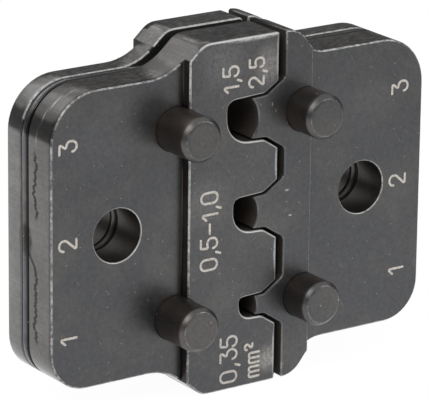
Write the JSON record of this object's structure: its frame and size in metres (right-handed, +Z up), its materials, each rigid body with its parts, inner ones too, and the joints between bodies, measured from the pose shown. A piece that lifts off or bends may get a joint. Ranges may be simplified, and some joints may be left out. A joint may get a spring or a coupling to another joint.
{
  "type": "crimp die",
  "caption": "Crimp die set: profiled nest half and toothed anvil half, each a pinned stack of plates and spacer, closing onto open-barrel wire terminals.",
  "frame": {"origin": "centre of the footprint, on the plane of the plates' lower ends, halves closed", "axes": "+X from the nest half to the anvil half, along the closing motion; +Y from the marked insulation-crimp plates to the conductor-crimp plates; +Z up along the plates"},
  "size_m": [0.0406, 0.016, 0.033],
  "materials": {
    "blackened_steel": "black oxide over ground steel, satin, worn bright along the edges",
    "ground_steel": "ground steel under thin black oxide, satin",
    "dowel_steel": "turned steel under thin black oxide, satin"
  },
  "bodies": {
    "nest_die": {"nest_front_plate": "blackened_steel", "nest_rear_plate": "blackened_steel", "nest_spacer": "ground_steel", "nest_upper_pin": "dowel_steel", "nest_lower_pin": "dowel_steel"},
    "anvil_die": {"anvil_front_plate": "blackened_steel", "anvil_rear_plate": "blackened_steel", "anvil_spacer": "ground_steel", "anvil_upper_pin": "dowel_steel", "anvil_lower_pin": "dowel_steel"}
  },
  "joints": [
    {"name": "die_opening", "type": "slide", "parent": "nest_die", "child": "anvil_die", "axis": [1, 0, 0], "range_m": [0, 0.012]}
  ]
}
